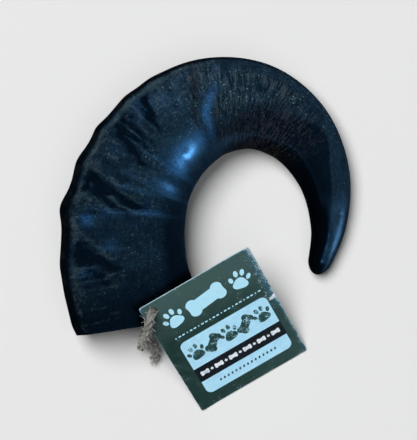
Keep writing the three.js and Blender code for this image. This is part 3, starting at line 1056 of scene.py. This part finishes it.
class CHEW_OT_horn(bpy.types.Operator):
    """The curled hollow horn with its wrinkles, sawn rim, raw hollow and drilled hole"""

    bl_idname = "chew.horn"
    bl_label = "Horn"

    def execute(self, context):
        # Two thirds of the columns lie on the seen upper side.
        columns = [np.linspace(0, 180, 112, endpoint=False), np.linspace(180, 360, 56, endpoint=False)]
        degrees = np.concatenate(columns)
        sides, rim_rows = len(degrees), 7
        inside = np.minimum(HOLLOW_END * (1 - np.linspace(0, 1, 60) ** 1.5), HOLLOW_END)
        outside = np.concatenate([
            np.array([0.0, 0.0012, 0.0026, 0.0045]),
            np.linspace(0.0065, 0.5, 262),
            np.linspace(0.5, 1 - TIP_ROUND, 200)[1:],
            1 - TIP_ROUND * (1 - np.linspace(0, 1, 16)[1:]) ** 2,
        ])
        share_in, turn_in = np.meshgrid(inside, degrees, indexing="ij")
        share_out, turn_out = np.meshgrid(outside, degrees, indexing="ij")
        inner, outer = hollow(share_in, turn_in), skin(share_out, turn_out)
        blend = np.linspace(0, 1, rim_rows + 2)[1:-1, None, None]
        points = np.concatenate([inner, mix(inner[-1][None], outer[0][None], blend), outer])
        share = np.concatenate([share_in, np.zeros((rim_rows, sides)), share_out])
        turn = np.concatenate([turn_in, np.broadcast_to(degrees, (rim_rows, sides)), turn_out])

        # The straightened horn: each point's place round and along it, in metres, for grain that follows it.
        size, angle = section(share), np.radians(turn)
        straight = np.stack([
            size["width"] / 2 * MM * np.cos(angle),
            np.maximum(size["thick"] / 2, 3) * MM * np.sin(angle),
            share * HORN_LENGTH * MM,
        ], -1)
        # Where the growth lines show: round the bend, above the outer flank.
        lined = 0.1 + 0.9 * smooth(share, 0.46, 0.5) * (1 - 0.9 * smooth(share, 0.66, 0.76))
        lined *= 1 - 0.9 * smooth(share, 0.5, 0.53) * (1 - smooth(turn, 30, 52))
        wear, crack = wear_and_painted_light_of(share, turn)
        # The tone field holds painted shade besides the horn's tone, wear holds a painted flank reflection
        # and painted groove shade besides the wear, and zones holds the painted blue highlights.
        fields = {
            "straight": straight,
            "wear": wear,
            "zones": np.stack([lined, crack, painted_sheen_of(share, turn)], -1),
            "tone": tone_and_painted_shade(share, turn),
            "rough": roughness_of(share, turn),
            "calm": 1 - 0.65 * smooth(share, 0.78, 0.88) - 0.92 * spot(share, turn, *SHOULDER),
        }

        # Materials by rows of faces: raw hollow, sawn rim and polished skin.
        stripes = np.zeros(len(points) - 3, int)
        stripes[: len(inner) - 2] = 2
        stripes[len(inner) - 2 : len(inner) - 1 + rim_rows] = 1
        horn = mesh_piece(
            "horn_sheath",
            metres(points)[None],
            [polished_horn(), sawn_horn(), bare_horn()],
            np.concatenate([np.repeat(stripes, sides), np.full(sides, 2), np.zeros(sides, int)]),
            {key: values[None] for key, values in fields.items()},
        )
        d = DRILLED
        middle = metres((d["x"], d["y"], (d["from"] + d["to"]) / 2))
        reach = (d["to"] - d["from"]) / 2 * MM
        drill(horn, middle, (0, 0, 1), d["across"] / 2 * MM, reach, horn.data.materials[1])
        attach(horn, "root")
        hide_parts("horn")
        return {"FINISHED"}


class CHEW_OT_tag(bpy.types.Operator):
    """The printed card tag: worn board, pale panel, dark band and plain motifs"""

    bl_idname = "chew.tag"
    bl_label = "Tag"

    def execute(self, context):
        t = context.scene.chew_tag
        wide, high, thick = TAG["width"], TAG["height"], TAG["thick"]
        outline = rounded_box((0, 0), (wide, high), TAG["corner"], 8)
        outline = np.vstack([outline, outline[:1]])
        gone = walked(outline)
        at = np.sort(np.concatenate([np.linspace(0, gone[-1], 420, endpoint=False), gone[:-1]]))
        at = at[np.concatenate([[True], np.diff(at) > 0.02])]
        edge = place_on(outline, gone, at)
        # Nicks: the outline is worn inwards a little, more along the right edge.
        rng = np.random.default_rng(8)
        waves, phase = rng.uniform(0.4, 3.5, 12), rng.uniform(0, 2 * np.pi, 12)
        worn = np.cos(at[:, None] * 2 * np.pi / waves + phase).sum(1) / 3
        worn = np.maximum(0, worn - 0.35) * (0.06 + 0.2 * smooth(edge[:, 0], wide - 1.5, wide - 0.5))
        centre = np.array([wide / 2, high / 2])
        edge += unit(centre - edge) * worn[:, None]
        # Rings of the card from the middle of its face over the rim to that of its back: size and level.
        rings = np.array([
            (0, 1), (0.3, 1), (0.6, 1), (0.8, 1), (0.9, 1), (0.95, 1), (0.975, 1), (0.99, 1), (0.9965, 0.99),
            (1, 0.85), (1, 0.5), (1, 0.15), (0.9965, 0.01), (0.99, 0), (0.95, 0), (0.8, 0), (0.5, 0), (0, 0),
        ])
        scale, level = rings.T
        flat = centre + (edge - centre)[None] * scale[:, None, None]
        u, v = flat[..., 0], flat[..., 1]
        # Two corners are lifted a little.
        lift = 0.5 * (smooth(u, wide - 10, wide) * smooth(v, high - 12, high))
        lift += 0.35 * smooth(10 - u, 0, 10) * smooth(10 - v, 0, 10)
        points = on_tag(u, v, (level * thick)[:, None] + lift)
        # How worn the card is: most on the rim, then near it, on its right side and at its upper left corner.
        nearest = np.minimum(np.minimum(u, wide - u), np.minimum(v, high - v))
        close = (scale >= 0.9999)[:, None] * 0.5 + 0.2 * np.exp(-nearest / 0.5)
        close += 0.16 * np.exp(-(wide - u) / 2.2)
        close += 0.13 * bell(wide - u, 4.6) * smooth(v, 0.4 * high, 0.52 * high)
        close += 0.3 * np.exp(-np.hypot(u, high - v) / 2.2)
        made = printed_card("green printed card", t.card, "#1f3b38", "#9fb9c2", -0.04, True)
        card = mesh_piece("tag_card", points[None], [made], fields={"edge": close[None]})
        hole = on_tag(TAG_HOLE["in"], high - TAG_HOLE["down"], thick / 2)
        axis = on_tag(0, 0, 1) - on_tag(0, 0, 0)
        drill(card, hole, axis, TAG_HOLE["across"] / 2 * MM, 3 * MM, made)

        def place(u, v):
            """Tag millimetres from shares of its width and of its height from the top."""
            return u * wide, high - v * high

        panel = rounded_box(place(0.12, 0.905), place(0.92, 0.415), 3.4)
        stripe = rounded_box(place(0.12, 0.785), place(0.925, 0.662), 0.05, 2)
        pale = paw(*place(0.2, 0.205), 13.5, 14) + [bone(*place(0.5, 0.2), 22, 11, 8)]
        pale += paw(*place(0.81, 0.2), 13.5, -16)
        for i, u in enumerate(np.linspace(0.13, 0.9, 23)):
            x, y = place(u, 0.36)
            long = 1.5 if i % 3 else 0.7
            pale.append(rounded_box((x - long / 2, y - 0.4), (x + long / 2, y + 0.4), 0.3, 4))
        green, white = [], []
        for i, u in enumerate((0.215, 0.37, 0.52, 0.67, 0.825)):
            at = place(u, 0.54)
            green += [bone(*at, 11.4, 6.8, 48)] if i % 2 else paw(*at, 11.6, 10)
        for i, u in enumerate(np.linspace(0.19, 0.85, 11)):
            at = place(u, 0.7235)
            white.append(oval(*at, 1.6, 1.6, 0, 20) if i % 2 else bone(*at, 5.0, 3.0, 0))
        white.append(np.array([place(u, v) for u, v in TORN]))
        small = [oval(*place(u, 0.845), 1.1, 1.7, -20, 16) for u in np.linspace(0.27, 0.78, 15)]
        printed = print_piece(
            "tag_print",
            [
                (shapes, low, top, printed_card(*look))
                for shapes, low, top, look in (
                    ([panel], 0.66, 0.735, ("pale blue print", t.pale, "#a8dcf8", "#c9eeff")),
                    ([stripe], 0.7, 0.755, ("black print", t.band, "#0d121c", "#1c222c")),
                    (pale, 0.68, 0.75, ("pale blue motif", "#b5ebff", t.pale, "#7fb0bd", -0.02)),
                    (green, 0.72, 0.77, ("distressed green motif", "#1d3a3a", "#28504c", t.pale, 0.12)),
                    (white, 0.74, 0.79, ("white motif", "#e9f3f8", "#cfdde6", "#5b646e", 0.02)),
                    (small, 0.72, 0.77, ("dark blue motif", "#1b3550", "#24486a", t.pale, 0.05)),
                )
            ],
        )
        for piece in (card, printed):
            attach(piece, "root")
        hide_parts("tag")
        return {"FINISHED"}


class CHEW_PT_panel(bpy.types.Panel):
    """Sizes, colours and the pieces of the horn chew"""

    bl_label = "Horn chew"
    bl_space_type = "VIEW_3D"
    bl_region_type = "UI"
    bl_category = "Horn chew"

    def draw(self, context):
        for piece in SETTINGS:
            settings = getattr(context.scene, "chew_" + piece)
            box = self.layout.box()
            box.operator("chew." + piece)
            for key in settings.bl_rna.properties.keys():
                if key not in ("rna_type", "name"):
                    box.prop(settings, key)


SETTINGS = {"stage": StageSettings, "twine": TwineSettings, "horn": HornSettings, "tag": TagSettings}
CLASSES = (*SETTINGS.values(), CHEW_OT_stage, CHEW_OT_twine, CHEW_OT_horn, CHEW_OT_tag, CHEW_PT_panel)


def register():
    for cls in CLASSES:
        bpy.utils.register_class(cls)
    for piece, settings in SETTINGS.items():
        setattr(bpy.types.Scene, "chew_" + piece, bpy.props.PointerProperty(type=settings))


def unregister():
    for piece in SETTINGS:
        delattr(bpy.types.Scene, "chew_" + piece)
    for cls in reversed(CLASSES):
        bpy.utils.unregister_class(cls)


def main():
    register()
    bpy.ops.chew.stage()
    bpy.ops.chew.twine()
    bpy.ops.chew.horn()
    bpy.ops.chew.tag()


if __name__ == "__main__":
    main()
